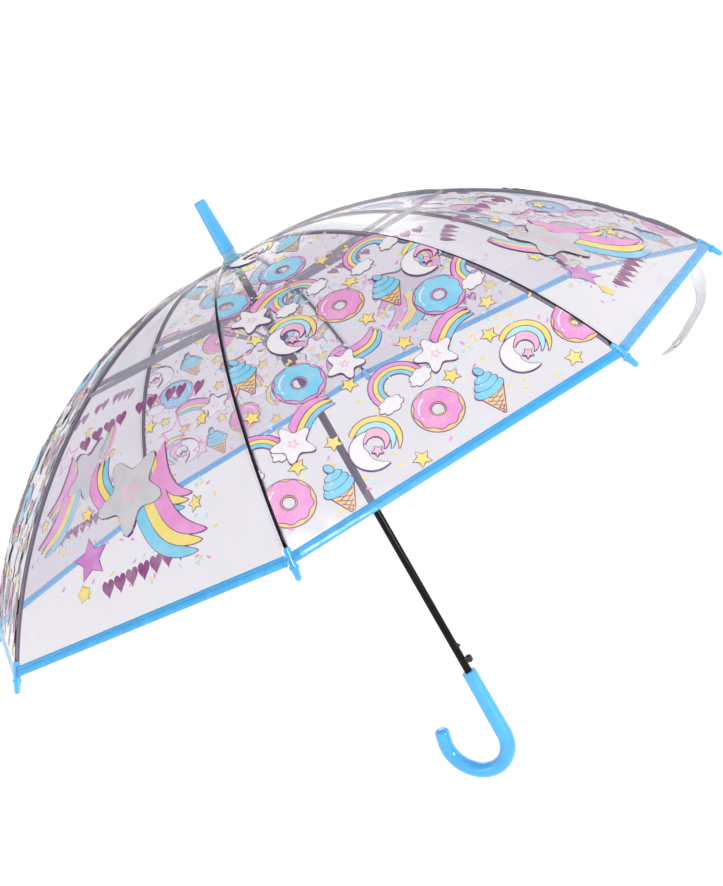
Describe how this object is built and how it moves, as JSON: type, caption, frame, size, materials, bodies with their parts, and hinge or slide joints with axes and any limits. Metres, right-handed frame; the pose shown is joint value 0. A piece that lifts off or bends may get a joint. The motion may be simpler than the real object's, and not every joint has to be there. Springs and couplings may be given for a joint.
{
  "type": "children's umbrella",
  "caption": "Child's stick umbrella with a clear dome canopy, printed panels, blue hem, curved ribs, spring opening and hooked handle.",
  "frame": {"origin": "on the shaft's axis at the mouth of the handle, where the shaft comes out of it", "axes": "+Z along the shaft to the finial; +X from the shaft to the tip of the hook; the stored pose is open"},
  "size_m": [0.7596, 0.7596, 0.6559],
  "materials": {
    "film": "clear, glossy, slightly milky",
    "blue_plastic": "glossy moulded",
    "clear_blue_plastic": "glossy, part clear",
    "black_plastic": "satin moulded",
    "white_plastic": "glossy",
    "black_steel": "gloss black paint",
    "grey_steel": "zinc plated",
    "wire": "bright wire"
  },
  "bodies": {
    "frame": {"shaft": "black_steel", "handle": "blue_plastic", "finial": "blue_plastic", "top_cap": "clear_blue_plastic", "top_notch": "blue_plastic", "notch_wire": "wire", "button_spring": "wire"},
    "runner": {"runner": "black_plastic", "runner_wire": "wire", "opening_spring": "wire"},
    "link_ring": {"link_ring": "black_plastic", "link_ring_wire": "wire"},
    "release_button": {"release_button": "black_plastic"},
    "rib_1": {"rib_1": "black_steel", "rib_tip_1": "blue_plastic"},
    "rib_2": {"rib_2": "black_steel", "rib_tip_2": "blue_plastic"},
    "rib_3": {"rib_3": "black_steel", "rib_tip_3": "blue_plastic"},
    "rib_4": {"rib_4": "black_steel", "rib_tip_4": "blue_plastic"},
    "rib_5": {"rib_5": "black_steel", "rib_tip_5": "blue_plastic"},
    "rib_6": {"rib_6": "black_steel", "rib_tip_6": "blue_plastic"},
    "rib_7": {"rib_7": "black_steel", "rib_tip_7": "blue_plastic"},
    "rib_8": {"rib_8": "black_steel", "rib_tip_8": "blue_plastic"},
    "stretcher_1": {"stretcher_1": "grey_steel"},
    "stretcher_2": {"stretcher_2": "grey_steel"},
    "stretcher_3": {"stretcher_3": "grey_steel"},
    "stretcher_4": {"stretcher_4": "grey_steel"},
    "stretcher_5": {"stretcher_5": "grey_steel"},
    "stretcher_6": {"stretcher_6": "grey_steel"},
    "stretcher_7": {"stretcher_7": "grey_steel"},
    "stretcher_8": {"stretcher_8": "grey_steel"},
    "link_1": {"link_1": "grey_steel"},
    "link_2": {"link_2": "grey_steel"},
    "link_3": {"link_3": "grey_steel"},
    "link_4": {"link_4": "grey_steel"},
    "link_5": {"link_5": "grey_steel"},
    "link_6": {"link_6": "grey_steel"},
    "link_7": {"link_7": "grey_steel"},
    "link_8": {"link_8": "grey_steel"},
    "canopy_1": {"canopy_panel_1": "film"},
    "canopy_2": {"canopy_panel_2": "film"},
    "canopy_3": {"canopy_panel_3": "film"},
    "canopy_4": {"canopy_panel_4": "film", "tie_strap": "film", "strap_snap": "white_plastic"},
    "canopy_5": {"canopy_panel_5": "film"},
    "canopy_6": {"canopy_panel_6": "film"},
    "canopy_7": {"canopy_panel_7": "film"},
    "canopy_8": {"canopy_panel_8": "film"}
  },
  "joints": [
    {"name": "runner_slide", "type": "slide", "parent": "frame", "child": "runner", "axis": [0, 0, 1], "range_m": [-0.33801, 0], "stiffness_N_per_m": 60, "springref_m": 0.16},
    {"name": "ring_slide", "type": "slide", "parent": "runner", "child": "link_ring", "axis": [0, 0, 1], "range_m": [0, 0.02505], "deforming": ["opening_spring"]},
    {"name": "button_press", "type": "slide", "parent": "frame", "child": "release_button", "axis": [1, 0, 0], "range_m": [0, 0.0022], "stiffness_N_per_m": 400, "springref_m": -0.0015, "deforming": ["button_spring"]},
    {"name": "rib_1_hinge", "type": "hinge", "parent": "frame", "child": "rib_1", "pos_m": [0.00628, 0.0026, 0.47], "axis": [0.3827, -0.9239, 0], "range_deg": [-60.61, 0]},
    {"name": "rib_2_hinge", "type": "hinge", "parent": "frame", "child": "rib_2", "pos_m": [0.0026, 0.00628, 0.47], "axis": [0.9239, -0.3827, 0], "range_deg": [-60.61, 0]},
    {"name": "rib_3_hinge", "type": "hinge", "parent": "frame", "child": "rib_3", "pos_m": [-0.0026, 0.00628, 0.47], "axis": [0.9239, 0.3827, 0], "range_deg": [-60.61, 0]},
    {"name": "rib_4_hinge", "type": "hinge", "parent": "frame", "child": "rib_4", "pos_m": [-0.00628, 0.0026, 0.47], "axis": [0.3827, 0.9239, 0], "range_deg": [-60.61, 0]},
    {"name": "rib_5_hinge", "type": "hinge", "parent": "frame", "child": "rib_5", "pos_m": [-0.00628, -0.0026, 0.47], "axis": [-0.3827, 0.9239, 0], "range_deg": [-60.61, 0]},
    {"name": "rib_6_hinge", "type": "hinge", "parent": "frame", "child": "rib_6", "pos_m": [-0.0026, -0.00628, 0.47], "axis": [-0.9239, 0.3827, 0], "range_deg": [-60.61, 0]},
    {"name": "rib_7_hinge", "type": "hinge", "parent": "frame", "child": "rib_7", "pos_m": [0.0026, -0.00628, 0.47], "axis": [-0.9239, -0.3827, 0], "range_deg": [-60.61, 0]},
    {"name": "rib_8_hinge", "type": "hinge", "parent": "frame", "child": "rib_8", "pos_m": [0.00628, -0.0026, 0.47], "axis": [-0.3827, -0.9239, 0], "range_deg": [-60.61, 0]},
    {"name": "stretcher_1_hinge", "type": "hinge", "parent": "runner", "child": "stretcher_1", "pos_m": [0.00628, 0.0026, 0.4253], "axis": [0.3827, -0.9239, 0], "range_deg": [0, 68.13]},
    {"name": "stretcher_2_hinge", "type": "hinge", "parent": "runner", "child": "stretcher_2", "pos_m": [0.0026, 0.00628, 0.4253], "axis": [0.9239, -0.3827, 0], "range_deg": [0, 68.13]},
    {"name": "stretcher_3_hinge", "type": "hinge", "parent": "runner", "child": "stretcher_3", "pos_m": [-0.0026, 0.00628, 0.4253], "axis": [0.9239, 0.3827, 0], "range_deg": [0, 68.13]},
    {"name": "stretcher_4_hinge", "type": "hinge", "parent": "runner", "child": "stretcher_4", "pos_m": [-0.00628, 0.0026, 0.4253], "axis": [0.3827, 0.9239, 0], "range_deg": [0, 68.13]},
    {"name": "stretcher_5_hinge", "type": "hinge", "parent": "runner", "child": "stretcher_5", "pos_m": [-0.00628, -0.0026, 0.4253], "axis": [-0.3827, 0.9239, 0], "range_deg": [0, 68.13]},
    {"name": "stretcher_6_hinge", "type": "hinge", "parent": "runner", "child": "stretcher_6", "pos_m": [-0.0026, -0.00628, 0.4253], "axis": [-0.9239, 0.3827, 0], "range_deg": [0, 68.13]},
    {"name": "stretcher_7_hinge", "type": "hinge", "parent": "runner", "child": "stretcher_7", "pos_m": [0.0026, -0.00628, 0.4253], "axis": [-0.9239, -0.3827, 0], "range_deg": [0, 68.13]},
    {"name": "stretcher_8_hinge", "type": "hinge", "parent": "runner", "child": "stretcher_8", "pos_m": [0.00628, -0.0026, 0.4253], "axis": [-0.3827, -0.9239, 0], "range_deg": [0, 68.13]},
    {"name": "link_1_hinge", "type": "hinge", "parent": "link_ring", "child": "link_1", "pos_m": [0.00776, 0.00321, 0.38625], "axis": [0.3827, -0.9239, 0], "range_deg": [0, 35.58]},
    {"name": "link_2_hinge", "type": "hinge", "parent": "link_ring", "child": "link_2", "pos_m": [0.00321, 0.00776, 0.38625], "axis": [0.9239, -0.3827, 0], "range_deg": [0, 35.58]},
    {"name": "link_3_hinge", "type": "hinge", "parent": "link_ring", "child": "link_3", "pos_m": [-0.00321, 0.00776, 0.38625], "axis": [0.9239, 0.3827, 0], "range_deg": [0, 35.58]},
    {"name": "link_4_hinge", "type": "hinge", "parent": "link_ring", "child": "link_4", "pos_m": [-0.00776, 0.00321, 0.38625], "axis": [0.3827, 0.9239, 0], "range_deg": [0, 35.58]},
    {"name": "link_5_hinge", "type": "hinge", "parent": "link_ring", "child": "link_5", "pos_m": [-0.00776, -0.00321, 0.38625], "axis": [-0.3827, 0.9239, 0], "range_deg": [0, 35.58]},
    {"name": "link_6_hinge", "type": "hinge", "parent": "link_ring", "child": "link_6", "pos_m": [-0.00321, -0.00776, 0.38625], "axis": [-0.9239, 0.3827, 0], "range_deg": [0, 35.58]},
    {"name": "link_7_hinge", "type": "hinge", "parent": "link_ring", "child": "link_7", "pos_m": [0.00321, -0.00776, 0.38625], "axis": [-0.9239, -0.3827, 0], "range_deg": [0, 35.58]},
    {"name": "link_8_hinge", "type": "hinge", "parent": "link_ring", "child": "link_8", "pos_m": [0.00776, -0.00321, 0.38625], "axis": [-0.3827, -0.9239, 0], "range_deg": [0, 35.58]},
    {"name": "canopy_1_fold", "type": "hinge", "parent": "frame", "child": "canopy_1", "pos_m": [0.00481, 0.00481, 0.47], "axis": [0.7071, -0.7071, 0], "range_deg": [-58.8, 0], "deforming": ["canopy_panel_1"]},
    {"name": "canopy_2_fold", "type": "hinge", "parent": "frame", "child": "canopy_2", "pos_m": [0, 0.0068, 0.47], "axis": [1, 0, 0], "range_deg": [-58.8, 0], "deforming": ["canopy_panel_2"]},
    {"name": "canopy_3_fold", "type": "hinge", "parent": "frame", "child": "canopy_3", "pos_m": [-0.00481, 0.00481, 0.47], "axis": [0.7071, 0.7071, 0], "range_deg": [-58.8, 0], "deforming": ["canopy_panel_3"]},
    {"name": "canopy_4_fold", "type": "hinge", "parent": "frame", "child": "canopy_4", "pos_m": [-0.0068, 0, 0.47], "axis": [0, 1, 0], "range_deg": [-58.8, 0], "deforming": ["canopy_panel_4", "tie_strap"]},
    {"name": "canopy_5_fold", "type": "hinge", "parent": "frame", "child": "canopy_5", "pos_m": [-0.00481, -0.00481, 0.47], "axis": [-0.7071, 0.7071, 0], "range_deg": [-58.8, 0], "deforming": ["canopy_panel_5"]},
    {"name": "canopy_6_fold", "type": "hinge", "parent": "frame", "child": "canopy_6", "pos_m": [0, -0.0068, 0.47], "axis": [-1, 0, 0], "range_deg": [-58.8, 0], "deforming": ["canopy_panel_6"]},
    {"name": "canopy_7_fold", "type": "hinge", "parent": "frame", "child": "canopy_7", "pos_m": [0.00481, -0.00481, 0.47], "axis": [-0.7071, -0.7071, 0], "range_deg": [-58.8, 0], "deforming": ["canopy_panel_7"]},
    {"name": "canopy_8_fold", "type": "hinge", "parent": "frame", "child": "canopy_8", "pos_m": [0.0068, 0, 0.47], "axis": [0, -1, 0], "range_deg": [-58.8, 0], "deforming": ["canopy_panel_8"]}
  ],
  "couplings": [
    {"joint": "ring_slide", "follows": "runner_slide", "ratio": -0.074099},
    {"joint": "rib_1_hinge", "follows": "runner_slide", "rad_per_m": 3.1299},
    {"joint": "rib_2_hinge", "follows": "runner_slide", "rad_per_m": 3.1299},
    {"joint": "rib_3_hinge", "follows": "runner_slide", "rad_per_m": 3.1299},
    {"joint": "rib_4_hinge", "follows": "runner_slide", "rad_per_m": 3.1299},
    {"joint": "rib_5_hinge", "follows": "runner_slide", "rad_per_m": 3.1299},
    {"joint": "rib_6_hinge", "follows": "runner_slide", "rad_per_m": 3.1299},
    {"joint": "rib_7_hinge", "follows": "runner_slide", "rad_per_m": 3.1299},
    {"joint": "rib_8_hinge", "follows": "runner_slide", "rad_per_m": 3.1299},
    {"joint": "stretcher_1_hinge", "follows": "runner_slide", "rad_per_m": -3.518},
    {"joint": "stretcher_2_hinge", "follows": "runner_slide", "rad_per_m": -3.518},
    {"joint": "stretcher_3_hinge", "follows": "runner_slide", "rad_per_m": -3.518},
    {"joint": "stretcher_4_hinge", "follows": "runner_slide", "rad_per_m": -3.518},
    {"joint": "stretcher_5_hinge", "follows": "runner_slide", "rad_per_m": -3.518},
    {"joint": "stretcher_6_hinge", "follows": "runner_slide", "rad_per_m": -3.518},
    {"joint": "stretcher_7_hinge", "follows": "runner_slide", "rad_per_m": -3.518},
    {"joint": "stretcher_8_hinge", "follows": "runner_slide", "rad_per_m": -3.518},
    {"joint": "link_1_hinge", "follows": "runner_slide", "rad_per_m": -1.8372},
    {"joint": "link_2_hinge", "follows": "runner_slide", "rad_per_m": -1.8372},
    {"joint": "link_3_hinge", "follows": "runner_slide", "rad_per_m": -1.8372},
    {"joint": "link_4_hinge", "follows": "runner_slide", "rad_per_m": -1.8372},
    {"joint": "link_5_hinge", "follows": "runner_slide", "rad_per_m": -1.8372},
    {"joint": "link_6_hinge", "follows": "runner_slide", "rad_per_m": -1.8372},
    {"joint": "link_7_hinge", "follows": "runner_slide", "rad_per_m": -1.8372},
    {"joint": "link_8_hinge", "follows": "runner_slide", "rad_per_m": -1.8372},
    {"joint": "canopy_1_fold", "follows": "runner_slide", "rad_per_m": 3.0363},
    {"joint": "canopy_2_fold", "follows": "runner_slide", "rad_per_m": 3.0363},
    {"joint": "canopy_3_fold", "follows": "runner_slide", "rad_per_m": 3.0363},
    {"joint": "canopy_4_fold", "follows": "runner_slide", "rad_per_m": 3.0363},
    {"joint": "canopy_5_fold", "follows": "runner_slide", "rad_per_m": 3.0363},
    {"joint": "canopy_6_fold", "follows": "runner_slide", "rad_per_m": 3.0363},
    {"joint": "canopy_7_fold", "follows": "runner_slide", "rad_per_m": 3.0363},
    {"joint": "canopy_8_fold", "follows": "runner_slide", "rad_per_m": 3.0363}
  ]
}
